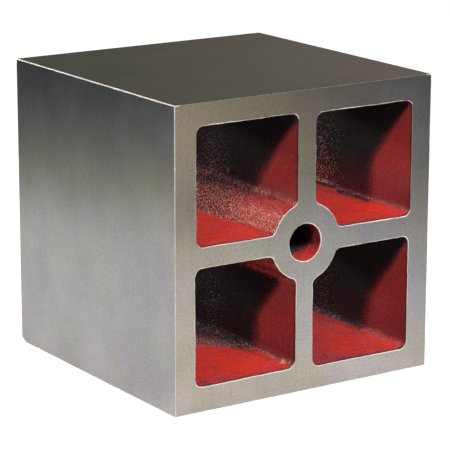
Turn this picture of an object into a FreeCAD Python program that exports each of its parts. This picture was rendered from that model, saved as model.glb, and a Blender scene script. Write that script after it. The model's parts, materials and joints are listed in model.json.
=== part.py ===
# A box parallel: one grey-iron casting, ground square on all six sides. Four cored windows run
# through it from the front face to the rear face, parted by a cross web whose centre is a round
# boss with a cored bore. Lengths are in millimetres. The origin is the middle of the base, +Z is
# up, -Y is the front face and the bore runs along Y.
import FreeCAD
import Part
import Sketcher
import math
import os

NODE = "box_parallel"
PARTS_FOLDER = "parts"
TOUCH = 1e-4

# name, value, what it measures
SIZES = [
    ("width", 203.2, "over the two ground sides, along X"),
    ("depth", 203.2, "from the front face to the rear face, along Y"),
    ("height", 203.2, "from the base to the top, along Z"),
    ("wall", 15.9, "from a ground side to the window beside it"),
    ("web", 14.0, "thickness of each arm of the cross web"),
    ("boss_diameter", 53.0, "round boss where the webs cross"),
    ("bore_diameter", 25.4, "cored hole through the boss"),
    ("window_radius", 5.5, "rounded corners of the cores that made the windows"),
    ("boss_fillet", 4.5, "fillet between the boss and each arm of the web"),
    ("edge_break", 0.6, "bevel stoned along the twelve outer edges"),
    ("window_rim", 0.5, "bevel where a window meets a ground face"),
    ("bore_rim", 0.5, "bevel where the bore meets a ground face"),
    ("chip_run", 6.8, "knocked corner at the left rear foot, along Y"),
    ("chip_rise", 3.2, "the same, along Z"),
    ("chip_reach", 5.0, "the same, along X"),
]


def write_sheet(doc):
    """The driving dimensions: a name, a number and a note in each row."""
    sheet = doc.addObject("Spreadsheet::Sheet", "Sizes")
    for row, (name, value, note) in enumerate(SIZES, start=1):
        sheet.set(f"A{row}", name)
        sheet.set(f"B{row}", str(value))
        sheet.set(f"C{row}", note)
        sheet.setAlias(f"B{row}", name)
    doc.recompute()
    return sheet


def origin_plane(body, role):
    return next(f for f in body.Origin.OriginFeatures if f.Role == role)


def new_sketch(body, name, plane_role, offsets):
    """A sketch on one of the body's own planes, moved by rules such as {"Base.y": "Sizes.height / 2"}."""
    sketch = body.newObject("Sketcher::SketchObject", name)
    sketch.AttachmentSupport = [(origin_plane(body, plane_role), "")]
    sketch.MapMode = "FlatFace"
    for place, rule in offsets.items():
        sketch.setExpression(f".AttachmentOffset.{place}", rule)
    body.Document.recompute()
    return sketch


def front_sketch(body, name):
    """A sketch seen from the front, with its origin on the bore's axis."""
    return new_sketch(body, name, "XZ_Plane", {"Base.y": "Sizes.height / 2"})


def drive(sketch, name, rule, *constraint):
    """Adds a constraint, names it and ties it to the sheet."""
    index = sketch.addConstraint(Sketcher.Constraint(*constraint))
    sketch.renameConstraint(index, name)
    sketch.setExpression(f"Constraints.{name}", rule)


def line(start, end):
    return Part.LineSegment(FreeCAD.Vector(*start), FreeCAD.Vector(*end))


def arc(centre, radius, start_deg, end_deg):
    """An arc that turns anticlockwise from start_deg to end_deg."""
    circle = Part.Circle(FreeCAD.Vector(*centre), FreeCAD.Vector(0, 0, 1), radius)
    return Part.ArcOfCircle(circle, math.radians(start_deg), math.radians(end_deg))


def block(body, sizes):
    """The cube, from its square front outline."""
    sketch = front_sketch(body, "block_outline")
    half_w, half_h = sizes.width / 2, sizes.height / 2
    corners = [(-half_w, -half_h, 0), (half_w, -half_h, 0), (half_w, half_h, 0), (-half_w, half_h, 0)]
    for i, corner in enumerate(corners):
        sketch.addGeometry(line(corner, corners[(i + 1) % 4]), False)
    for i in range(4):
        sketch.addConstraint(Sketcher.Constraint("Coincident", i, 2, (i + 1) % 4, 1))
    for i in (0, 2):
        sketch.addConstraint(Sketcher.Constraint("Horizontal", i))
        sketch.addConstraint(Sketcher.Constraint("Vertical", i + 1))
    sketch.addConstraint(Sketcher.Constraint("Symmetric", 0, 1, 2, 1, -1, 1))
    drive(sketch, "width", "Sizes.width", "DistanceX", 0, 1, 0, 2, sizes.width)
    drive(sketch, "height", "Sizes.height", "DistanceY", 1, 1, 1, 2, sizes.height)
    pad = body.newObject("PartDesign::Pad", "block")
    pad.Profile = sketch
    pad.Midplane = True
    pad.setExpression("Length", "Sizes.depth")
    body.Document.recompute()


def window_outline(body, sizes):
    """The upper right window, seen from the front: a square with rounded corners whose inner corner
    is taken by the boss. The outline runs clockwise from the foot of the upright web."""
    sketch = front_sketch(body, "window_outline")
    web = sizes.web / 2
    far_x = sizes.width / 2 - sizes.wall
    far_z = sizes.height / 2 - sizes.wall
    corner = sizes.window_radius
    fillet = sizes.boss_fillet
    boss = sizes.boss_diameter / 2
    fillet_from_web = web + fillet
    fillet_along_web = math.sqrt((boss + fillet) ** 2 - fillet_from_web**2)
    lean = math.degrees(math.atan2(fillet_from_web, fillet_along_web))
    shapes = [
        line((web, fillet_along_web, 0), (web, far_z - corner, 0)),
        arc((web + corner, far_z - corner, 0), corner, 90, 180),
        line((web + corner, far_z, 0), (far_x - corner, far_z, 0)),
        arc((far_x - corner, far_z - corner, 0), corner, 0, 90),
        line((far_x, far_z - corner, 0), (far_x, web + corner, 0)),
        arc((far_x - corner, web + corner, 0), corner, -90, 0),
        line((far_x - corner, web, 0), (fillet_along_web, web, 0)),
        arc((fillet_along_web, fillet_from_web, 0), fillet, 180 + lean, 270),
        arc((0, 0, 0), boss, lean, 90 - lean),
        arc((fillet_from_web, fillet_along_web, 0), fillet, 180, 270 - lean),
    ]
    upright, top_left, top, top_right, right, low_right, foot, low_fillet, round_boss, high_fillet = range(10)
    for shape in shapes:
        sketch.addGeometry(shape, False)
    # each joint is smooth: (piece, its end, next piece, its end), where 1 is a start and 2 an end
    joints = [
        (upright, 2, top_left, 2),
        (top_left, 1, top, 1),
        (top, 2, top_right, 2),
        (top_right, 1, right, 1),
        (right, 2, low_right, 2),
        (low_right, 1, foot, 1),
        (foot, 2, low_fillet, 2),
        (low_fillet, 1, round_boss, 1),
        (round_boss, 2, high_fillet, 2),
        (high_fillet, 1, upright, 1),
    ]
    for joint in joints:
        sketch.addConstraint(Sketcher.Constraint("Tangent", *joint))
    for piece in (upright, right):
        sketch.addConstraint(Sketcher.Constraint("Vertical", piece))
    for piece in (top, foot):
        sketch.addConstraint(Sketcher.Constraint("Horizontal", piece))
    for piece in (top_right, low_right):
        sketch.addConstraint(Sketcher.Constraint("Equal", top_left, piece))
    sketch.addConstraint(Sketcher.Constraint("Equal", low_fillet, high_fillet))
    sketch.addConstraint(Sketcher.Constraint("Coincident", round_boss, 3, -1, 1))
    drive(sketch, "boss_radius", "Sizes.boss_diameter / 2", "Radius", round_boss, boss)
    drive(sketch, "corner_radius", "Sizes.window_radius", "Radius", top_left, corner)
    drive(sketch, "fillet_radius", "Sizes.boss_fillet", "Radius", low_fillet, fillet)
    drive(sketch, "upright_web", "Sizes.web / 2", "DistanceX", -1, 1, upright, 1, web)
    drive(sketch, "level_web", "Sizes.web / 2", "DistanceY", -1, 1, foot, 1, web)
    drive(sketch, "side_wall", "Sizes.width / 2 - Sizes.wall", "DistanceX", -1, 1, right, 1, far_x)
    drive(sketch, "top_wall", "Sizes.height / 2 - Sizes.wall", "DistanceY", -1, 1, top, 1, far_z)
    return sketch


def circle(sketch, name, rule, radius):
    """A circle about the sketch's origin."""
    sketch.addGeometry(Part.Circle(FreeCAD.Vector(0, 0, 0), FreeCAD.Vector(0, 0, 1), radius), False)
    sketch.addConstraint(Sketcher.Constraint("Coincident", 0, 3, -1, 1))
    drive(sketch, name, rule, "Radius", 0, radius)


def core(body, name, sketch):
    """An opening from the front face to the rear face."""
    pocket = body.newObject("PartDesign::Pocket", name)
    pocket.Profile = sketch
    pocket.Midplane = True
    pocket.Type = "ThroughAll"
    body.Document.recompute()
    return pocket


def windows(body, sizes):
    """One window, mirrored to the left and then downwards about the middle of the cross web."""
    sketch = window_outline(body, sizes)
    pocket = core(body, "window", sketch)
    four = body.newObject("PartDesign::MultiTransform", "four_windows")
    four.Originals = [pocket]
    mirrors = []
    for name, axis in (("to_the_left", "V_Axis"), ("downwards", "H_Axis")):
        mirror = body.newObject("PartDesign::Mirrored", name)
        mirror.MirrorPlane = (sketch, [axis])
        mirrors.append(mirror)
    four.Transformations = mirrors
    body.Tip = four
    body.Document.recompute()


def bore(body, sizes):
    """The cored hole through the boss."""
    sketch = front_sketch(body, "bore_outline")
    circle(sketch, "bore_radius", "Sizes.bore_diameter / 2", sizes.bore_diameter / 2)
    core(body, "bore", sketch)


def cored_faces(shape, sizes):
    """The front face and the rear face, where the windows open."""
    planes = [face for face in shape.Faces if isinstance(face.Surface, Part.Plane)]
    return [face for face in planes if abs(abs(face.CenterOfMass.y) - sizes.depth / 2) < TOUCH]


def long_edges(shape, sizes):
    """The four edges of the block that run from front to rear."""
    chosen = []
    for edge in shape.Edges:
        box = edge.BoundBox
        on_side = abs(abs(box.Center.x) - sizes.width / 2) < TOUCH
        if on_side and box.YLength > sizes.depth - TOUCH:
            chosen.append(edge)
    return chosen


def end_edges(shape, sizes):
    """All round the front face and the rear face."""
    return [edge for face in cored_faces(shape, sizes) for edge in face.OuterWire.Edges]


def core_mouths(shape, sizes):
    """The outline of each window and of the bore, where it opens on a ground face."""
    return [w for f in cored_faces(shape, sizes) for w in f.Wires if not w.isSame(f.OuterWire)]


def window_mouths(shape, sizes):
    return [edge for w in core_mouths(shape, sizes) if len(w.Edges) > 1 for edge in w.Edges]


def bore_mouths(shape, sizes):
    return [edge for w in core_mouths(shape, sizes) if len(w.Edges) == 1 for edge in w.Edges]


def bevel(body, sizes, name, choose, size_name):
    """A 45 degree bevel along the edges that choose() finds on the casting so far."""
    base = body.Tip
    chosen = choose(base.Shape, sizes)
    numbered = enumerate(base.Shape.Edges, start=1)
    names = [f"Edge{i}" for i, edge in numbered if any(edge.isSame(other) for other in chosen)]
    feature = body.newObject("PartDesign::Chamfer", name)
    feature.Base = (base, names)
    feature.setExpression("Size", f"Sizes.{size_name}")
    body.Document.recompute()


def bevels(body, sizes):
    """The stoned outer edges, then the rims of the windows and of the bore."""
    bevel(body, sizes, "long_edges", long_edges, "edge_break")
    bevel(body, sizes, "end_edges", end_edges, "edge_break")
    bevel(body, sizes, "window_rims", window_mouths, "window_rim")
    bevel(body, sizes, "bore_rims", bore_mouths, "bore_rim")


def chipped_corner(body, sizes):
    """The left rear foot is knocked off by a flat through three points, one on each edge that met
    there. The sketch lies on that flat, and the cutter is a disc that stands outside it."""
    flat = {
        "Rotation.Axis.x": "1 / Sizes.chip_run",
        "Rotation.Axis.y": "1 / Sizes.chip_reach",
        "Rotation.Axis.z": "0",
        "Rotation.Angle": "atan(Sizes.chip_rise * sqrt(1 / Sizes.chip_reach ^ 2 + 1 / Sizes.chip_run ^ 2))",
        "Base.x": "-Sizes.width / 2",
        "Base.y": "Sizes.depth / 2",
        "Base.z": "Sizes.chip_rise",
    }
    sketch = new_sketch(body, "chip_outline", "XY_Plane", flat)
    all_legs = "Sizes.chip_run + Sizes.chip_rise + Sizes.chip_reach"
    circle(sketch, "cutter_radius", all_legs, sizes.chip_run + sizes.chip_rise + sizes.chip_reach)
    pocket = body.newObject("PartDesign::Pocket", "chipped_corner")
    pocket.Profile = sketch
    pocket.setExpression("Length", all_legs)
    body.Document.recompute()


def check(doc, body):
    """Stops if any object failed, or if the casting isn't one sound solid."""
    for item in doc.Objects:
        bad = {"Invalid", "Error"} & set(item.State)
        if bad:
            raise RuntimeError(f"{item.Label} is {bad}: {item.getStatusString()}")
    shape = body.Shape
    if shape.isNull() or not shape.isValid() or len(shape.Solids) != 1:
        raise RuntimeError(f"{body.Label} is not one valid solid")


def main():
    doc = FreeCAD.newDocument("box_parallel")
    sizes = write_sheet(doc)
    body = doc.addObject("PartDesign::Body", "casting")
    body.Label = NODE
    block(body, sizes)
    volumes = [body.Shape.Volume]
    for cut in (windows, bore, bevels, chipped_corner):
        cut(body, sizes)
        volumes.append(body.Shape.Volume)
    check(doc, body)
    if sorted(volumes, reverse=True) != volumes or len(set(volumes)) < len(volumes):
        raise RuntimeError(f"a cut took nothing away: {volumes}")
    os.makedirs(PARTS_FOLDER, exist_ok=True)
    body.Shape.exportStep(os.path.join(PARTS_FOLDER, f"{NODE}.step"))
    print(f"{NODE}: {len(body.Shape.Faces)} faces, volumes {[round(v) for v in volumes]} mm3")


main()
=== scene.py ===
"""The looks of a box parallel: one grey-iron casting, ground bright outside, with rough cast windows
painted red. Lengths are in metres, in the CAD model's frame: +Z up, front face towards -Y."""
import json
import math

import bmesh
import bpy
from mathutils import Matrix, Vector, geometry, noise

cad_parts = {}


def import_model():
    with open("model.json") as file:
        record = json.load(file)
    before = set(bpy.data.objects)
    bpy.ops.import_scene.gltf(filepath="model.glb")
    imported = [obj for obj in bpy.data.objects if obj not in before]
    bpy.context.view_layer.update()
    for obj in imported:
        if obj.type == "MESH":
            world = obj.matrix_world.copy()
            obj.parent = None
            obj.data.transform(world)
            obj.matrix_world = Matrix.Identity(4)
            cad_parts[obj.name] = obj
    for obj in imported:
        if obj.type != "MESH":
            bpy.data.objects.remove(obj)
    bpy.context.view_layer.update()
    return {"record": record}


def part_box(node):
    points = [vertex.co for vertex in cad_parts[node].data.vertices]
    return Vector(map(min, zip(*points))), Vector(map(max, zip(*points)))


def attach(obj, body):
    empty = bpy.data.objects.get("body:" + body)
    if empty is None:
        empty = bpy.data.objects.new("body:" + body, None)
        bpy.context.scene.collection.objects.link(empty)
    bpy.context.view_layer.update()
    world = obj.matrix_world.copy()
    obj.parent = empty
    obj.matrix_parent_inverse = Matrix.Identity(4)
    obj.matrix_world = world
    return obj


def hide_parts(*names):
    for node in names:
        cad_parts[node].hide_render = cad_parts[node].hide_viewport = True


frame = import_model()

MM = 0.001

# Sizes of the casting

NODE = "box_parallel"
LOW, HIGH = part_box(NODE)
SIZE = HIGH - LOW
HALF = SIZE / 2
CENTRE = (LOW + HIGH) / 2
SIDE = SIZE.z
WALL = 15.9 * MM
WEB = 14.0 * MM
BOSS_RADIUS = 26.5 * MM
BOSS_FILLET = 4.5 * MM
WINDOW_RADIUS = 5.5 * MM
BORE_RADIUS = next(m for m in frame["record"]["mounts"] if m["name"] == "bore")["dims"]["r_mm"] * MM
EDGE_BREAK = 0.6 * MM
LEAST_BREAK = 0.03 * MM
RIM, BORE_RIM, RIM_DEPTH = 0.6 * MM, 0.5 * MM, 0.35 * MM
LEAST_RIM = 0.45  # of the usual width
STEP = 1.8 * MM  # between the rows of the mesh
CORNER_STEP = 0.9 * MM
CHIP_RUN, CHIP_RISE, CHIP_REACH, CHIP_HOLLOW = 6.8 * MM, 3.2 * MM, 5.0 * MM, 0.35 * MM

# Where the windows meet the outer walls
RIGHT, LEFT = HALF.x - WALL, -WEB / 2
LOWER_FLOOR, UPPER_FLOOR = LOW.z + WALL, CENTRE.z + WEB / 2

# The corner that each core sits in, how far it sat from its true place when the iron was poured, how
# much of the usual bevel its rim has on the left, on the right and at the bottom, and its seams. These
# are fins and cracks where its halves met: x and z, depths from the front, height, half width
CORES = [
    {"right": -1, "up": 1, "shift": (0.3 * MM, 1.0 * MM), "seed": 1, "rubbed": (0.6, 0.15, 0.6),
     "seams": [
         ((LEFT, CENTRE.z + BOSS_RADIUS), (30 * MM, 170 * MM), 0.65 * MM, 1.3 * MM),
         ((LEFT, CENTRE.z + 33.7 * MM), (73 * MM, 85 * MM), 2.2 * MM, 1.1 * MM),
     ]},
    {"right": 1, "up": 1, "shift": (0.4 * MM, -0.1 * MM), "seed": 2, "rubbed": (0.6, 0.15, 1.1),
     "seams": [
         ((RIGHT - 0.3 * MM, UPPER_FLOOR + 3.8 * MM), (84 * MM, 150 * MM), 1.5 * MM, 0.9 * MM),
         ((RIGHT - 0.9 * MM, UPPER_FLOOR + 2.4 * MM), (84 * MM, 122 * MM), -1.9 * MM, 0.8 * MM),
         ((RIGHT - 0.9 * MM, UPPER_FLOOR + 2.4 * MM), (40 * MM, 84 * MM), 0.9 * MM, 0.9 * MM),
         ((RIGHT - 2.2 * MM, UPPER_FLOOR + 1.1 * MM), (42 * MM, 82 * MM), -1.9 * MM, 0.8 * MM),
     ]},
    {"right": -1, "up": -1, "shift": (-0.6 * MM, 1.3 * MM), "seed": 3, "rubbed": (1.0, 0.4, 1.0),
     "seams": [
         ((LEFT - 1.6 * MM, LOWER_FLOOR + 1.6 * MM), (-10 * MM, 240 * MM), 0.9 * MM, 3.0 * MM),
         ((LEFT - 0.1 * MM, LOWER_FLOOR + 5.0 * MM), (12 * MM, 190 * MM), 1.0 * MM, 0.7 * MM),
         ((LEFT - 0.5 * MM, LOWER_FLOOR + 3.4 * MM), (12 * MM, 190 * MM), -1.3 * MM, 0.8 * MM),
     ]},
    {"right": 1, "up": -1, "shift": (-1.0 * MM, -0.5 * MM), "seed": 4, "rubbed": (1.0, 0.4, 1.0),
     "seams": [
         ((RIGHT - 1.6 * MM, LOWER_FLOOR + 1.6 * MM), (20 * MM, 190 * MM), 0.5 * MM, 3.2 * MM),
     ]},
]
BORE_SHIFT, BORE_SEED = (-0.8 * MM, 0.2 * MM), 7

# How much of the usual bevel an edge has: the axis that it runs along, and its side of the block on the
# next two axes. The top front edge was hardly stoned, and the top left one more than the rest
STONING = {
    (0, (-1, 1)): 0.06, (0, (1, 1)): 0.35, (1, (1, -1)): 1.15, (1, (1, 1)): 0.5,
    (2, (-1, -1)): 0.5, (2, (-1, 1)): 0.35,
}

# Knocks in the edges: axis of the edge, its side of the block on the next two axes, place along it,
# half length, depth
NICKS = [
    (1, (-1, -1), 78 * MM, 1.3 * MM, 1.1 * MM),
    (1, (-1, -1), -31 * MM, 1.0 * MM, 0.4 * MM),
    (2, (-1, -1), 61 * MM, 0.9 * MM, 0.35 * MM),
    (2, (1, -1), -47 * MM, 1.4 * MM, 0.5 * MM),
    (0, (1, 1), 22 * MM, 1.2 * MM, 0.45 * MM),
]

# Material numbers on the mesh
GROUND, EDGE, PAINT = range(3)


class Surface:
    """Collects vertices, merging those at the same place, and faces with a material number."""

    def __init__(self):
        self.points = []
        self.index = {}
        self.faces = []
        self.materials = []
        self.smooth = []

    def vertex(self, point):
        key = tuple(round(c * 1e7) for c in point)
        if key not in self.index:
            self.index[key] = len(self.points)
            self.points.append(tuple(point))
        return self.index[key]

    def face(self, corners, material, smooth):
        unique = list(dict.fromkeys(corners))
        if len(unique) > 2:
            self.faces.append(unique)
            self.materials.append(material)
            self.smooth.append(smooth)

    def strip(self, ring_a, ring_b, material, closed, smooth=True):
        """Quads between two rows of vertices of equal length."""
        count = len(ring_a)
        for i in range(count if closed else count - 1):
            j = (i + 1) % count
            self.face([ring_a[i], ring_a[j], ring_b[j], ring_b[i]], material, smooth)


# The outside: six ground faces with stoned edges

def smooth(value, off, on):
    """0 at off and beyond, 1 at on and beyond, with an even change between them."""
    t = min(1, max(0, (value - off) / (on - off)))
    return t * t * (3 - 2 * t)


def stoned(axis, sides, t):
    """Width of the bevel at the place t along an edge: uneven, as a hand-held stone leaves it."""
    where = Vector((t / (22 * MM), axis * 7.3 + sides[0] * 1.9, sides[1] * 3.1))
    fine = Vector((t / (4 * MM), axis * 5.1 + sides[0] * 2.3, sides[1] * 4.7))
    touch = STONING.get((axis, sides), 1)
    return EDGE_BREAK * touch * (1 + 0.35 * noise.noise(where) + 0.18 * noise.noise(fine))


def nick(axis, sides, t):
    """Extra width where an edge has been knocked."""
    extra = 0
    for n_axis, n_sides, place, length, depth in NICKS:
        if n_axis == axis and n_sides == sides:
            extra += depth * math.exp(-(((t - place) / length) ** 2))
    return extra


def edge_rows(surface, axis, sides):
    """Three rows of vertices along one edge of the block: one on each face, and one between them."""
    b, c = (axis + 1) % 3, (axis + 2) % 3
    reach = HALF[axis] - EDGE_BREAK
    count = max(2, round(2 * reach / STEP))
    rows = ([], [], [])
    for k in range(count + 1):
        t = reach * (2 * k / count - 1)
        near_end = smooth(reach - abs(t), 5 * MM, 0)
        width = max(LEAST_BREAK, stoned(axis, sides, t)) + nick(axis, sides, t)
        width += (EDGE_BREAK - width) * near_end
        crown = width * (1 - math.sqrt(0.5))
        for row, (back_b, back_c) in zip(rows, ((0, width), (crown, crown), (width, 0))):
            point = Vector(CENTRE)
            point[axis] += t
            point[b] += sides[0] * (HALF[b] - back_b)
            point[c] += sides[1] * (HALF[c] - back_c)
            row.append(surface.vertex(point))
    return rows


def block(surface):
    """The bevels and the four plain faces; returns the outlines of the front and rear faces."""
    rows = {}
    for axis in range(3):
        for sides in ((-1, -1), (1, -1), (-1, 1), (1, 1)):
            rows[axis, sides] = edge_rows(surface, axis, sides)
            on_b, middle, on_c = rows[axis, sides]
            surface.strip(on_b, middle, EDGE, closed=False)
            surface.strip(middle, on_c, EDGE, closed=False)
    corners(surface, rows)
    outlines = {}
    for normal in range(3):
        for side in (-1, 1):
            loop = outline_of_face(rows, normal, side)
            if normal == 1:
                outlines[side] = loop
            else:
                surface.face(loop, GROUND, smooth=False)
    return outlines


def outline_of_face(rows, normal, side):
    """The rows that lie on one face of the block, joined end to end."""
    p, q = (normal + 1) % 3, (normal + 2) % 3
    # on an edge along q, this face is the first of its two other axes; along p, it is the second
    along_q = {s: rows[q, (side, s)][0] for s in (-1, 1)}
    along_p = {s: rows[p, (s, side)][2] for s in (-1, 1)}
    loop = along_p[-1] + along_q[1] + along_p[1][::-1] + along_q[-1][::-1]
    return list(dict.fromkeys(loop))


def corners(surface, rows):
    """A small crowned patch at each corner of the block, between the ends of three edges."""
    for sx in (-1, 1):
        for sy in (-1, 1):
            for sz in (-1, 1):
                signs = (sx, sy, sz)
                ring = []
                for axis in (0, 1, 2):
                    sides = (signs[(axis + 1) % 3], signs[(axis + 2) % 3])
                    end = -1 if signs[axis] > 0 else 0
                    on_b, middle, on_c = rows[axis, sides]
                    ring += [on_b[end], middle[end], on_c[end]]
                ring = order_ring(surface, ring)
                # the tip of the patch, between the three bevels
                back = EDGE_BREAK * 0.42
                tip = CENTRE + Vector([s * (HALF[i] - back) for i, s in enumerate(signs)])
                centre = surface.vertex(tip)
                for i, corner in enumerate(ring):
                    surface.face([corner, ring[(i + 1) % len(ring)], centre], EDGE, smooth=True)


def order_ring(surface, ring):
    """Sorts a corner's vertices round its diagonal."""
    ring = list(dict.fromkeys(ring))
    points = [Vector(surface.points[i]) for i in ring]
    middle = sum(points, Vector()) / len(points)
    out = (middle - CENTRE).normalized()
    side = out.orthogonal().normalized()
    up = out.cross(side)
    turn = [math.atan2((p - middle).dot(up), (p - middle).dot(side)) for p in points]
    return [i for _, i in sorted(zip(turn, ring))]


# The inside: cored windows and bore

def run(start, end, step):
    """Points from start to end, without the end."""
    count = max(1, round((end - start).length / step))
    return [start.lerp(end, k / count) for k in range(count)]


def arc(centre, radius, start, end, step):
    """Points on an arc from one angle to the other, without the end."""
    count = max(3, round(abs(end - start) * radius / step))
    angles = [start + (end - start) * k / count for k in range(count)]
    return [centre + radius * Vector((math.cos(a), math.sin(a))) for a in angles]


def window_outline(core):
    """The outline of a window in x and z about the bore, without its core's shift."""
    web = WEB / 2
    far_x, far_z = HALF.x - WALL, HALF.z - WALL
    r = WINDOW_RADIUS
    from_web = web + BOSS_FILLET
    along_web = math.sqrt((BOSS_RADIUS + BOSS_FILLET) ** 2 - from_web**2)
    lean = math.atan2(from_web, along_web)
    quarter = math.pi / 2
    points = run(Vector((web, along_web)), Vector((web, far_z - r)), STEP)
    points += arc(Vector((web + r, far_z - r)), r, 2 * quarter, quarter, CORNER_STEP)
    points += run(Vector((web + r, far_z)), Vector((far_x - r, far_z)), STEP)
    points += arc(Vector((far_x - r, far_z - r)), r, quarter, 0, CORNER_STEP)
    points += run(Vector((far_x, far_z - r)), Vector((far_x, web + r)), STEP)
    points += arc(Vector((far_x - r, web + r)), r, 0, -quarter, CORNER_STEP)
    points += run(Vector((far_x - r, web)), Vector((along_web, web)), STEP)
    points += arc(Vector((along_web, from_web)), BOSS_FILLET, 3 * quarter, 2 * quarter + lean, STEP)
    points += arc(Vector((0, 0)), BOSS_RADIUS, lean, quarter - lean, STEP)
    points += arc(Vector((from_web, along_web)), BOSS_FILLET, 3 * quarter - lean, 2 * quarter, STEP)
    return [Vector((p.x * core["right"], p.y * core["up"])) for p in points]


def outward(points):
    """The direction from the opening into the metal at each point of an outline."""
    count = len(points)
    area = sum(points[i].cross(points[(i + 1) % count]) for i in range(count))
    turn = 1 if area > 0 else -1
    normals = []
    for i in range(count):
        along = (points[(i + 1) % count] - points[i - 1]).normalized()
        normals.append(Vector((along.y, -along.x)) * turn)
    return normals


def cast_skin(point, seed):
    """How far a cored wall stands into the opening: swells, ripples and the grain of the sand."""
    shifted = Vector(point) + Vector((seed * 0.31, 0, seed * 0.17))
    swell = noise.noise(shifted / (34 * MM))
    ripple = noise.noise(shifted / (9 * MM))
    grain = noise.noise(shifted / (3.6 * MM))
    pits = max(0, noise.noise(shifted / (5.5 * MM) + Vector((9, 4, 2))) - 0.35)
    return (0.28 * swell + 0.16 * ripple + 0.20 * grain - 0.5 * pits) * MM


def seam(place, line, span, height, width):
    """A fin, or with a negative height a crack, that runs along a window at a line's x and z."""
    away = math.hypot(place.x - line[0], place.z - line[1])
    depth = place.y - LOW.y
    along = smooth(depth, span[0], span[0] + 5 * MM) * smooth(depth, span[1], span[1] - 5 * MM)
    uneven = 0.75 + 1.1 * noise.noise(Vector((depth / (4 * MM), line[0] * 90, line[1] * 90)))
    return height * math.exp(-((away / width) ** 2)) * along * max(0, uneven)


def opening(surface, outline, shift, seed, seams=(), rim_width=RIM, rubbed=(1, 1, 1)):
    """A cored opening from front to rear; returns its rim on the front and on the rear face. The shares
    in rubbed are those of the usual bevel on the left, on the right and at the bottom."""
    count = max(4, round(SIZE.y / STEP))
    normals = outward(outline)
    about = Vector((CENTRE.x + shift[0], CENTRE.z + shift[1]))
    depths = [RIM_DEPTH + (SIZE.y - 2 * RIM_DEPTH) * k / count for k in range(count + 1)]
    rings = []
    for depth in depths:
        ring = []
        for p, n in zip(outline, normals):
            place = Vector((about.x + p.x, LOW.y + depth, about.y + p.y))
            inward = cast_skin(place, seed)
            for line, span, height, width in seams:
                inward += seam(place, line, span, height, width)
            flat = about + p - n * inward
            ring.append(surface.vertex((flat.x, LOW.y + depth, flat.y)))
        rings.append(ring)
    for ring_a, ring_b in zip(rings, rings[1:]):
        surface.strip(ring_a, ring_b, PAINT, closed=True)
    rims = []
    for ring, y in ((rings[0], LOW.y), (rings[-1], HIGH.y)):
        rim = []
        for index, n in zip(ring, normals):
            x, _, z = surface.points[index]
            here = Vector((x, y, z))
            touch = 0.95 + 0.7 * noise.noise(here / (19 * MM)) + 0.4 * noise.noise(here / (2.6 * MM))
            width = rim_width * max(LEAST_RIM, touch)
            for share, facing in zip(rubbed, (-n.x, n.x, -n.y)):
                width *= 1 + (share - 1) * smooth(facing, 0.75, 1)
            rim.append(surface.vertex((x + n.x * width, y, z + n.y * width)))
        surface.strip(rim, ring, EDGE, closed=True, smooth=False)
        rims.append(rim)
    return rims


def cored_face(surface, outer, rims):
    """A ground face with openings in it."""
    loops = [outer] + rims
    flat = [i for loop in loops for i in loop]
    lines = [[Vector((surface.points[i][0], surface.points[i][2], 0)) for i in loop] for loop in loops]
    for triangle in geometry.tessellate_polygon(lines):
        surface.face([flat[i] for i in triangle], GROUND, smooth=False)


def knock_corner(mesh):
    """Cuts off the left rear foot along a rough flat."""
    corner = Vector((LOW.x, HIGH.y, LOW.z))
    normal = Vector((-1 / CHIP_REACH, 1 / CHIP_RUN, -1 / CHIP_RISE)).normalized()
    through = corner + Vector((0, 0, CHIP_RISE))
    everything = mesh.verts[:] + mesh.edges[:] + mesh.faces[:]
    cut = bmesh.ops.bisect_plane(
        mesh, geom=everything, plane_co=through, plane_no=normal, clear_outer=True)
    border = [e for e in cut["geom_cut"] if isinstance(e, bmesh.types.BMEdge)]
    filled = bmesh.ops.contextual_create(mesh, geom=border, mat_nr=EDGE)["faces"]
    inner = bmesh.ops.poke(mesh, faces=filled)
    for vert in inner["verts"]:
        vert.co -= normal * CHIP_HOLLOW


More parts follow.
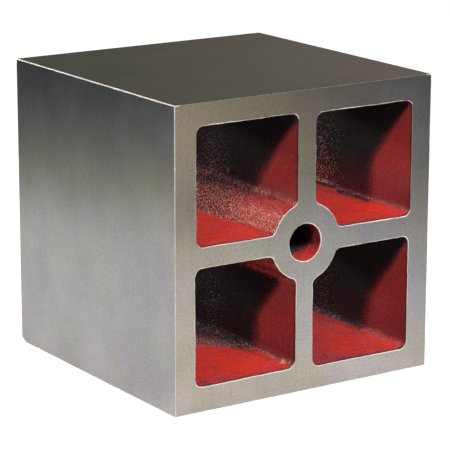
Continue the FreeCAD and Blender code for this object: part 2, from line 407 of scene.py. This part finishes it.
def paint_on(place, normal):
    """At a place in an opening: how thick the enamel lies, with painted shade in it, how much pale grit
    stands out of it as painted glints, and how uneven it is. It is the same from both ends, and lies
    thickest on the floors."""
    to_end = min(place.y - LOW.y, HIGH.y - place.y)
    upper, right = place.z > CENTRE.z, place.x > 0
    height = place.z - (UPPER_FLOOR if upper else LOWER_FLOOR)
    from_axis = math.hypot(place.x, place.z - CENTRE.z)
    lap = 4 * MM * noise.noise(place / (26 * MM))
    # painted shade: in the bore the coat ends where the lamps' light stops reaching, further in at the
    # bottom
    if from_axis < BORE_RADIUS + 2 * MM:
        low = smooth(normal.z, 0, 1)
        reach = (9 + 9 * low) * MM
        coat_and_shade = (0.62 + 0.18 * low) * smooth(to_end + 0.4 * lap, reach + 7 * MM, reach - 5 * MM)
        return coat_and_shade, 0.3, 0.5
    on_boss = smooth(from_axis, BOSS_RADIUS + 6 * MM, BOSS_RADIUS + 1.5 * MM)
    on_floor = smooth(normal.z, 0.45, 0.9) * (1 - on_boss)
    on_wall = (1 - on_floor) * (1 - on_boss)

    # painted shade: at each end the walls' coat stops along the slanting shadow line of the side lamp
    # and at the depth its light reaches; it is thinner low down, and keeps a thin band above the floors
    fade = 3 * MM + 0.25 * to_end
    limit = (75 if upper or not right else 72) * MM - to_end - 0.95 * height + lap
    wall = smooth(limit, -fade, fade) * smooth(to_end + lap, 64 * MM, 38 * MM)
    wall = max(wall * (0.82 - 0.17 * smooth(height, 34 * MM, 8 * MM)),
               (0.38 if upper else 0.18) * smooth(height, 40 * MM, 6 * MM))
    # painted shade on the floors: the coat thins deeper in and towards the outer left wall, and the
    # lower right floor is thinner, most towards its left; a band on the lower left floor is darker, with
    # pale grit
    floor_coat_and_shade = 0.88 + 0.11 * smooth(to_end, 4 * MM, 24 * MM) - 0.14 * smooth(to_end, 32 * MM, 80 * MM)
    floor_coat_and_shade += 0.22 * noise.noise(place / (21 * MM)) - 0.14 * smooth(place.x, -62 * MM, -80 * MM)
    dark_band = 0
    if not upper and right:
        floor_coat_and_shade -= 0.08 + 0.2 * smooth(place.x, 64 * MM, 28 * MM)
    if not upper and not right:
        edge = LEFT - 0.78 * (to_end - 46 * MM) + lap
        dark_band = smooth(place.x, edge - 6 * MM, edge + 4 * MM)
        floor_coat_and_shade -= 0.6 * dark_band
    # painted shade and glints on the boss: its thin coat darkens deeper in, and pale grit, a painted
    # glint, stands out of it where it is steep and deeper in
    steep = smooth(abs(normal.z), 0.95, 0.6)
    boss_coat_and_shade = 0.70 + 0.1 * steep - 0.30 * smooth(to_end, 34 * MM, 75 * MM)
    boss_glints = 0.3 + 0.8 * max(steep, 0.9 * smooth(to_end, 20 * MM, 60 * MM))
    # deep inside, low on the walls, pale grit is a painted glint, and those grains are glossier too
    deep_glints = (1.05 if upper else 0.75) * smooth(to_end, 54 * MM, 106 * MM)
    deep_glints *= smooth(height, 84 * MM, 24 * MM)

    coat_and_shade = wall * on_wall + floor_coat_and_shade * on_floor + boss_coat_and_shade * on_boss
    grit_and_glint = boss_glints * on_boss + deep_glints * on_wall + dark_band * on_floor
    # fins carry pale grit as a painted glint, and cracks are darkened as painted shade
    core = next(c for c in CORES if right == (c["right"] > 0) and upper == (c["up"] > 0))
    for line, span, rise, width in core["seams"]:
        marked = seam(place, line, span, rise, width) / MM
        coat_and_shade += 0.9 * min(marked, 0)
        grit_and_glint = max(grit_and_glint, 1.8 * marked, -0.5 * marked)
    # along the rims the coat is rubbed off
    coat_and_shade *= 0.15 + 0.85 * smooth(to_end, 0.5 * MM, 2.6 * MM + 1.9 * MM * on_floor)
    return coat_and_shade, grit_and_glint, 0.8 * on_boss + 0.35 * on_wall + 0.6 * on_floor


def casting():
    """The whole casting as one closed mesh."""
    surface = Surface()
    outlines = block(surface)
    rims = []
    for core in CORES:
        rims.append(opening(surface, window_outline(core), core["shift"], core["seed"], core["seams"],
                            RIM, core["rubbed"]))
    bore = arc(Vector((0, 0)), BORE_RADIUS, 0, 2 * math.pi, STEP)
    rims.append(opening(surface, bore, BORE_SHIFT, BORE_SEED, rim_width=BORE_RIM))
    cored_face(surface, outlines[-1], [front for front, _ in rims])
    cored_face(surface, outlines[1], [rear for _, rear in rims])
    data = bpy.data.meshes.new("casting")
    data.from_pydata(surface.points, [], surface.faces)
    data.polygons.foreach_set("material_index", surface.materials)
    data.polygons.foreach_set("use_smooth", surface.smooth)
    mesh = bmesh.new()
    mesh.from_mesh(data)
    knock_corner(mesh)
    bmesh.ops.recalc_face_normals(mesh, faces=mesh.faces)
    mesh.to_mesh(data)
    mesh.free()
    # per vertex: the enamel's thickness with painted shade in it, the pale grit that is painted glints,
    # and how uneven the enamel is
    layers = [data.attributes.new(name, "FLOAT", "POINT") for name in ("coat_and_shade", "grit_and_glint", "uneven")]
    for i, vertex in enumerate(data.vertices):
        for layer, value in zip(layers, paint_on(vertex.co, vertex.normal)):
            layer.data[i].value = value
    obj = bpy.data.objects.new("casting", data)
    bpy.context.scene.collection.objects.link(obj)
    return obj


# Materials

class Nodes:
    """Adds and links shader nodes in few words."""

    def __init__(self, owner):
        owner.use_nodes = True
        self.tree = owner.node_tree
        self.tree.nodes.clear()

    def add(self, kind, **settings):
        """A node; a setting that names an input sets its value, or links it to another node's output."""
        node = self.tree.nodes.new(kind)
        inputs = settings.pop("inputs", {})
        for name, value in settings.items():
            setattr(node, name, value)
        for name, value in inputs.items():
            if isinstance(value, bpy.types.NodeSocket):
                self.tree.links.new(value, node.inputs[name])
            else:
                node.inputs[name].default_value = value
        return node

    def position(self, scale=(1, 1, 1)):
        """The place on the object, stretched by scale."""
        here = self.add("ShaderNodeTexCoord")
        mapping = self.add("ShaderNodeMapping", inputs={"Scale": scale})
        self.tree.links.new(here.outputs["Object"], mapping.inputs["Vector"])
        return mapping.outputs["Vector"]

    def noise(self, vector, scale, detail, roughness=0.5):
        inputs = {"Vector": vector, "Scale": scale, "Detail": detail, "Roughness": roughness}
        return self.add("ShaderNodeTexNoise", inputs=inputs).outputs["Fac"]

    def ramp(self, factor, stops):
        """A colour ramp; each stop is a place and a colour."""
        node = self.add("ShaderNodeValToRGB", inputs={"Fac": factor})
        ramp = node.color_ramp
        while len(ramp.elements) < len(stops):
            ramp.elements.new(0.5)
        for element, (place, colour) in zip(ramp.elements, stops):
            element.position = place
            element.color = (*colour, 1)
        return node.outputs["Color"]

    def span(self, factor, low, high, to_low, to_high):
        """Maps a factor from one range onto another."""
        return self.add("ShaderNodeMapRange", inputs={
            "Value": factor, "From Min": low, "From Max": high,
            "To Min": to_low, "To Max": to_high}).outputs["Result"]

    def mix(self, factor, a, b):
        """One colour where the factor is 0, the other where it is 1."""
        node = self.tree.nodes.new("ShaderNodeMix")
        node.data_type = "RGBA"
        sockets = {s.name: s for s in node.inputs if s.enabled}
        for name, value in (("Factor", factor), ("A", a), ("B", b)):
            if isinstance(value, bpy.types.NodeSocket):
                self.tree.links.new(value, sockets[name])
            else:
                sockets[name].default_value = value
        return next(s for s in node.outputs if s.enabled)

    def math(self, operation, a, b):
        return self.add("ShaderNodeMath", operation=operation, inputs={0: a, 1: b}).outputs[0]

    def times(self, a, b):
        """The product of two colours or places."""
        return self.add("ShaderNodeVectorMath", operation="MULTIPLY", inputs={0: a, 1: b}).outputs[0]

    def bump(self, height, distance, strength):
        inputs = {"Height": height, "Distance": distance, "Strength": strength}
        return self.add("ShaderNodeBump", inputs=inputs).outputs["Normal"]

    def surface(self, shader):
        studio = bpy.context.scene.world
        is_world = studio is not None and self.tree == studio.node_tree
        out = self.add("ShaderNodeOutputWorld" if is_world else "ShaderNodeOutputMaterial")
        self.tree.links.new(shader, out.inputs["Surface"])


def ground_iron():
    """Grey iron off the surface grinder: close parallel lines under a thin oil film that has left faint
    stains."""
    material = bpy.data.materials.new("ground_iron")
    n = Nodes(material)
    film = n.noise(n.position(), 26.0, detail=5.0, roughness=0.6)
    streaks = n.noise(n.position(scale=(1, 1, 0.02)), 900.0, detail=3.0, roughness=0.6)
    speckle = n.noise(n.position(), 700.0, detail=2.0)
    mottle = n.math("ADD", n.math("MULTIPLY", film, 0.45), n.math("MULTIPLY", streaks, 0.13))
    mottle = n.math("ADD", mottle, n.math("MULTIPLY", speckle, 0.42))
    grey = n.ramp(mottle, [
        (0.36, (0.370, 0.361, 0.341)), (0.50, (0.440, 0.431, 0.411)),
        (0.64, (0.510, 0.501, 0.485))])
    stain = n.ramp(n.noise(n.position(), 34.0, detail=2.5), [
        (0.36, (0.995, 0.985, 1.05)), (0.50, (1.0, 1.0, 1.0)), (0.64, (0.985, 1.01, 0.945))])
    rough = n.span(film, 0.3, 0.7, 0.17, 0.21)
    lines = n.noise(n.position(scale=(1, 1, 0.03)), 1500.0, detail=2.0)
    normal = n.bump(lines, 0.02 * MM, 0.6)
    shader = n.add("ShaderNodeBsdfPrincipled", inputs={
        "Base Color": n.times(grey, stain), "Metallic": 1.0, "Roughness": rough, "Normal": normal})
    n.surface(shader.outputs[0])
    return material


def bright_edge():
    """Freshly stoned iron: brighter and smoother than the faces. Its pale colour and half-diffuse
    response are partly a painted highlight, so that the bevels gleam in the lamps' diffuse light.
    """
    material = bpy.data.materials.new("stoned_edge_and_gleam")
    n = Nodes(material)
    grain = n.noise(n.position(), 900.0, detail=2.0)
    colour = n.ramp(grain, [(0.3, (0.68, 0.66, 0.62)), (0.7, (0.82, 0.79, 0.75))])
    shader = n.add("ShaderNodeBsdfPrincipled", inputs={
        "Base Color": colour, "Metallic": 0.55, "Roughness": n.span(grain, 0.3, 0.7, 0.38, 0.5)})
    n.surface(shader.outputs[0])
    return material


# What is seen in the windows, from no enamel to a full coat; its dark end also serves as painted shade
SCALE_AND_SHADE = (0.021, 0.037, 0.041)
TINGED_SCALE = (0.075, 0.027, 0.036)
THIN_ENAMEL = (0.360, 0.048, 0.058)
RED_ENAMEL = (0.690, 0.032, 0.014)
# pale grains that are painted glints: grey where the coat is thin, red where it is thicker
GRAIN_GLINT_GREY, GRAIN_GLINT_RED = (0.60, 0.52, 0.56, 1), (1.0, 0.40, 0.30, 1)


def red_paint():
    """Glossy red machine enamel over a rough as-cast skin. Where it lies thin, foundry scale shows in
    the pores of the sand, and the darkest scale is painted shade. Pale grains are painted glints."""
    material = bpy.data.materials.new("red_paint")
    n = Nodes(material)
    place = n.position()
    grain = n.noise(place, 720.0, detail=2.0, roughness=0.6)
    coat_and_shade, grit_and_glint, uneven = (n.add("ShaderNodeAttribute", attribute_name=name).outputs["Fac"]
                          for name in ("coat_and_shade", "grit_and_glint", "uneven"))
    thickness = n.math("ADD", coat_and_shade, n.math("MULTIPLY", n.span(grain, 0.0, 1.0, -1.8, 1.8), uneven))
    enamel = n.ramp(thickness, [
        (0.0, SCALE_AND_SHADE), (0.35, TINGED_SCALE), (0.70, THIN_ENAMEL), (1.0, RED_ENAMEL)])
    # the pale grains mixed into the colour are painted glints
    glint_mask = n.math("ADD", n.noise(place, 1050.0, detail=1.0), n.math("MULTIPLY", grit_and_glint, 0.22))
    glinting_grains = n.span(glint_mask, 0.80, 0.83, 0.0, 1.0)
    colour = n.mix(glinting_grains, enamel, n.mix(n.span(coat_and_shade, 0.1, 0.5, 0.0, 1.0), GRAIN_GLINT_GREY, GRAIN_GLINT_RED))
    glossy = n.math("MAXIMUM", n.span(coat_and_shade, 0.60, 0.96, 0.0, 1.0), n.math("MULTIPLY", glinting_grains, 0.4))
    normal = n.bump(grain, 2.0 * MM, n.span(uneven, 0.0, 1.0, 0.0, 1.0))
    shader = n.add("ShaderNodeBsdfPrincipled", inputs={
        "Base Color": colour, "Roughness": n.span(glossy, 0.0, 1.0, 0.5, 0.17),
        "Specular IOR Level": n.span(glossy, 0.0, 1.0, 0.04, 0.5), "Normal": normal})
    n.surface(shader.outputs[0])
    return material


# The studio

POOL_CENTRE = (-0.14 * SIDE, 0.15 * SIDE, 0)
POOL_ASPECT = 1.67
POOL_TURN = math.radians(-8.7)
POOL_END = 6.2 * SIDE
SCREEN_RADIUS = 9 * SIDE

# Gaps in the dark screen: azimuths and elevations in degrees
GLOW_PANELS = [((85, 130), (30, 50)), ((-75, -20), (26, 46))]

# Soft boxes: name, place, width and height in sides of the block, power in watts, colour, gleams or not
LAMPS = [
    ("side", (-5.3, -3.5, 4.1), (0.8, 0.8), 5.0, (1, 0.98, 0.95), False),
    ("front", (0.5, -4.8, 3.3), (0.9, 1.0), 20.0, (1, 0.98, 0.95), False),
    ("back", (-1.7, 5.8, 1.9), (0.6, 0.5), 5.0, (1, 0.95, 0.93), True),
    ("rear", (-0.6, 2.2, 4.6), (1.2, 0.6), 3.0, (1, 0.96, 0.94), True),
]

# The photograph's view, worked out from the block's seven visible corners
LENS = 183.78
VIEW_PLACE = Vector((-4.182, -6.303, 2.353)) * SIDE
VIEW_DIRECTION = Vector((0.5379, 0.8070, -0.2436))
VIEW_ROLL = math.radians(0.09)


def seen_or_mirrored(n):
    """1 for what the camera sees straight, in a mirror or through glass; 0 for light on the object."""
    ray = n.add("ShaderNodeLightPath").outputs
    either = n.math("MAXIMUM", ray["Is Camera Ray"], ray["Is Glossy Ray"])
    return n.math("MAXIMUM", either, ray["Is Transmission Ray"])


def floor():
    """A paper floor that shows white and keeps the object's shadow, and lights the object as a greyer
    one would."""
    size = 16 * SIDE
    data = bpy.data.meshes.new("floor")
    corners_of_floor = [(-size, -size, 0), (size, -size, 0), (size, size, 0), (-size, size, 0)]
    data.from_pydata(corners_of_floor, [], [(0, 1, 2, 3)])
    obj = bpy.data.objects.new("floor", data)
    bpy.context.scene.collection.objects.link(obj)
    material = bpy.data.materials.new("paper")
    n = Nodes(material)
    paper = n.add("ShaderNodeBsdfDiffuse", inputs={"Color": (0.2, 0.2, 0.2, 1)})
    dim_paper = n.add("ShaderNodeBsdfDiffuse", inputs={"Color": (0.30, 0.30, 0.30, 1)})
    glow = n.add("ShaderNodeEmission", inputs={"Color": (1, 1, 1, 1), "Strength": 0.97})
    white = n.add("ShaderNodeAddShader", inputs={0: dim_paper.outputs[0], 1: glow.outputs[0]})
    mix = n.add("ShaderNodeMixShader", inputs={
        0: seen_or_mirrored(n), 1: paper.outputs[0], 2: white.outputs[0]})
    n.surface(mix.outputs[0])
    data.materials.append(material)


def world():
    """A white room, and a low plain light from all round."""
    scene = bpy.context.scene
    scene.world = bpy.data.worlds.new("studio")
    n = Nodes(scene.world)
    white = n.add("ShaderNodeBackground", inputs={"Color": (1, 1, 1, 1), "Strength": 1.0})
    fill = n.add("ShaderNodeBackground", inputs={"Color": (0.95, 0.97, 1, 1), "Strength": 0.015})
    mix = n.add("ShaderNodeMixShader", inputs={
        0: seen_or_mirrored(n), 1: fill.outputs[0], 2: white.outputs[0]})
    n.surface(mix.outputs[0])


def card(name, points, faces, colour_of):
    """A card in the studio that the ground faces mirror and nothing else sees. colour_of() gives its
    colour from the place on it."""
    data = bpy.data.meshes.new(name)
    data.from_pydata(points, [], faces)
    obj = bpy.data.objects.new(name, data)
    bpy.context.scene.collection.objects.link(obj)
    material = bpy.data.materials.new(name)
    n = Nodes(material)
    glow = n.add("ShaderNodeEmission", inputs={"Color": colour_of(n), "Strength": 1.0})
    n.surface(glow.outputs[0])
    data.materials.append(material)
    obj.visible_camera = False
    obj.visible_diffuse = False
    obj.visible_shadow = False


def pool_of_light():
    """The lit part of the floor. Behind the block it fades in an oval, and before it to the right.
    Its tints, bands and patches are painted light and shade."""
    behind = [
        (0.0, (0.84, 0.81, 0.82)), (1.9, (0.87, 0.86, 0.91)), (2.5, (0.83, 0.82, 0.85)),
        (3.05, (0.58, 0.59, 0.56)), (3.5, (0.37, 0.40, 0.30)), (3.9, (0.285, 0.275, 0.245)),
        (4.4, (0.225, 0.215, 0.23)), (5.0, (0.15, 0.167, 0.182)), (6.2, (0.06, 0.072, 0.078)),
    ]
    before = [
        (-0.5, (1.07, 0.97, 0.86)), (0.1, (1.06, 0.96, 0.88)), (0.4, (1.04, 0.96, 0.88)),
        (0.65, (0.94, 0.87, 0.75)), (0.95, (0.86, 0.81, 0.71)), (1.25, (0.72, 0.68, 0.62)),
        (1.45, (0.65, 0.61, 0.56)), (1.6, (0.54, 0.50, 0.40)), (1.75, (0.51, 0.47, 0.34)),
        (1.92, (0.47, 0.43, 0.31)), (2.12, (0.43, 0.38, 0.30)), (2.32, (0.34, 0.31, 0.29)),
        (2.56, (0.25, 0.25, 0.27)), (3.2, (0.18, 0.18, 0.20)), (4.2, (0.13, 0.13, 0.15)),
    ]

    def colour_of(n):
        here = n.add("ShaderNodeTexCoord").outputs["Object"]
        across, along, _ = n.add("ShaderNodeSeparateXYZ", inputs={0: here}).outputs
        about = n.add("ShaderNodeVectorMath", operation="SUBTRACT", inputs={0: here, 1: POOL_CENTRE})
        turned = n.add("ShaderNodeVectorRotate", rotation_type="Z_AXIS",
                       inputs={"Vector": about.outputs[0], "Angle": POOL_TURN})
        oval = n.times(turned.outputs[0], (POOL_ASPECT, 1, 0))
        length = n.add("ShaderNodeVectorMath", operation="LENGTH", inputs={0: oval})
        rear = n.ramp(n.span(length.outputs["Value"], 0, POOL_END, 0.0, 1.0),
                      [(reach * SIDE / POOL_END, c) for reach, c in behind])
        low, high = before[0][0], before[-1][0]
        fore = n.ramp(n.span(across, low * SIDE, high * SIDE, 0.0, 1.0),
                      [((x - low) / (high - low), c) for x, c in before])
        is_fore = n.span(along, -0.6 * SIDE, -0.3 * SIDE, 1.0, 0.0)
        mixed = n.mix(is_fore, rear, fore)
        # a cooler light in a slanting band on the right, and a glow on the floor to the left
        lean = n.math("ADD", across, n.math("MULTIPLY", along, 1.26))
        cool = n.math("MULTIPLY", n.span(lean, -2.0 * SIDE, -1.2 * SIDE, 0.0, 1.0),
                      n.span(lean, -0.5 * SIDE, 0.1 * SIDE, 1.0, 0.0))
        cool = n.math("MULTIPLY", cool, n.span(across, 0.1 * SIDE, 0.9 * SIDE, 0.0, 1.0))
        tint = n.mix(n.math("MULTIPLY", cool, is_fore), (1, 1, 1, 1), (0.98, 1.03, 1.26, 1))
        slant = n.math("ADD", along, n.math("MULTIPLY", across, 1.5))
        glow = n.math("MULTIPLY", n.span(slant, -0.5 * SIDE, -1.15 * SIDE, 0.0, 1.0),
                      n.span(across, -1.75 * SIDE, -2.2 * SIDE, 0.0, 1.0))
        tint = n.mix(glow, tint, (1.42, 1.44, 1.34, 1))
        # a painted shadow strip across the floor before the block, and a patch of painted light beyond
        # it
        strip = n.math("ADD", along, n.math("MULTIPLY", across, 0.56))
        lit_patch = n.math("MULTIPLY", n.span(strip, -2.42 * SIDE, -2.56 * SIDE, 0.0, 1.0),
                       n.span(across, 1.45 * SIDE, 1.9 * SIDE, 0.0, 1.0))
        lit_patch = n.math("MULTIPLY", lit_patch, n.span(across, 2.9 * SIDE, 3.8 * SIDE, 1.0, 0.0))
        tint = n.mix(lit_patch, tint, (1.75, 1.58, 1.22, 1))
        shadow_strip = n.math("MULTIPLY", n.span(strip, -1.98 * SIDE, -2.06 * SIDE, 0.0, 1.0),
                      n.span(strip, -2.34 * SIDE, -2.42 * SIDE, 1.0, 0.0))
        shadow_strip = n.math("MULTIPLY", shadow_strip, n.span(across, 2.2 * SIDE, 2.8 * SIDE, 1.0, 0.1))
        shadow_strip = n.math("MULTIPLY", shadow_strip, n.span(across, 0.0, 0.5 * SIDE, 0.0, 1.0))
        stripped = n.mix(shadow_strip, n.times(mixed, tint), (0.10, 0.09, 0.03, 1))
        # a sheet of white paper to the right of the block
        sheet = n.math("MULTIPLY", n.span(across, 1.3 * SIDE, 1.5 * SIDE, 0.0, 1.0),
                       n.span(along, -0.9 * SIDE, -0.7 * SIDE, 0.0, 1.0))
        sheet = n.math("MULTIPLY", sheet, n.span(along, 1.0 * SIDE, 1.2 * SIDE, 1.0, 0.0))
        return n.mix(sheet, stripped, (0.74, 0.71, 0.66, 1))

    half, low = SCREEN_RADIUS, 0.3 * MM
    points = [(-half, -half, low), (half, -half, low), (half, half, low), (-half, half, low)]
    card("pool_of_light", points, [(0, 1, 2, 3)], colour_of)


def dark_screen():
    """A dark screen round and over the studio, with two gaps that let the white room in."""
    columns, rows = 72, 18
    points = [(0, 0, SCREEN_RADIUS)]
    for row in range(rows):
        lift = math.radians(90 * row / rows - 0.6)
        for column in range(columns):
            turn = 2 * math.pi * column / columns
            flat = SCREEN_RADIUS * math.cos(lift)
            points.append((flat * math.cos(turn), flat * math.sin(turn), SCREEN_RADIUS * math.sin(lift)))
    faces = []
    for row in range(rows):
        for column in range(columns):
            azimuth, elevation = 360 * (column + 0.5) / columns, 90 * (row + 0.5) / rows
            if any((azimuth - turns[0]) % 360 < turns[1] - turns[0] and lifts[0] < elevation < lifts[1]
                   for turns, lifts in GLOW_PANELS):
                continue
            low = 1 + row * columns
            here, beside = low + column, low + (column + 1) % columns
            if row < rows - 1:
                faces.append((here, beside, beside + columns, here + columns))
            else:
                faces.append((here, beside, 0))

    def colour_of(n):
        across, _, up = n.add("ShaderNodeSeparateXYZ", inputs={
            0: n.add("ShaderNodeTexCoord").outputs["Object"]}).outputs
        wall = n.ramp(n.span(across, 4.0 * SIDE, 6.0 * SIDE, 0.0, 1.0),
                      [(0.0, (0.102, 0.102, 0.080)), (1.0, (0.210, 0.177, 0.158))])
        overhead = n.span(up, 5.0 * SIDE, 7.5 * SIDE, 0.0, 1.0)
        return n.mix(overhead, wall, (0.26, 0.26, 0.26, 1))

    card("dark_screen", points, faces, colour_of)


def lamp(name, place, size, power, colour, gleams):
    """A soft box that points at the block. One that doesn't gleam isn't mirrored in what it lights."""
    data = bpy.data.lights.new(name, "AREA")
    data.shape = "RECTANGLE"
    data.size, data.size_y = size[0] * SIDE, size[1] * SIDE
    data.energy = power
    data.color = colour
    obj = bpy.data.objects.new(name, data)
    obj.location = Vector(place) * SIDE
    obj.rotation_euler = (CENTRE - Vector(place) * SIDE).to_track_quat("-Z", "Y").to_euler()
    obj.visible_camera = False
    obj.visible_glossy = gleams
    bpy.context.scene.collection.objects.link(obj)


def camera():
    """The photograph's view: a long lens from the front left, a little above the block."""
    data = bpy.data.cameras.new("camera")
    data.sensor_width = 36
    data.lens = LENS
    data.clip_end = 50
    obj = bpy.data.objects.new("camera", data)
    roll = Matrix.Rotation(VIEW_ROLL, 3, "Z").to_quaternion()
    obj.rotation_euler = (VIEW_DIRECTION.to_track_quat("-Z", "Y") @ roll).to_euler()
    obj.location = VIEW_PLACE
    bpy.context.scene.collection.objects.link(obj)
    bpy.context.scene.camera = obj


bpy.context.scene.view_settings.view_transform = "Standard"
camera()
world()
floor()
pool_of_light()
dark_screen()
piece = casting()
for material in (ground_iron(), bright_edge(), red_paint()):
    piece.data.materials.append(material)
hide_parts(NODE)
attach(piece, "root")

for settings in LAMPS:
    lamp(*settings)
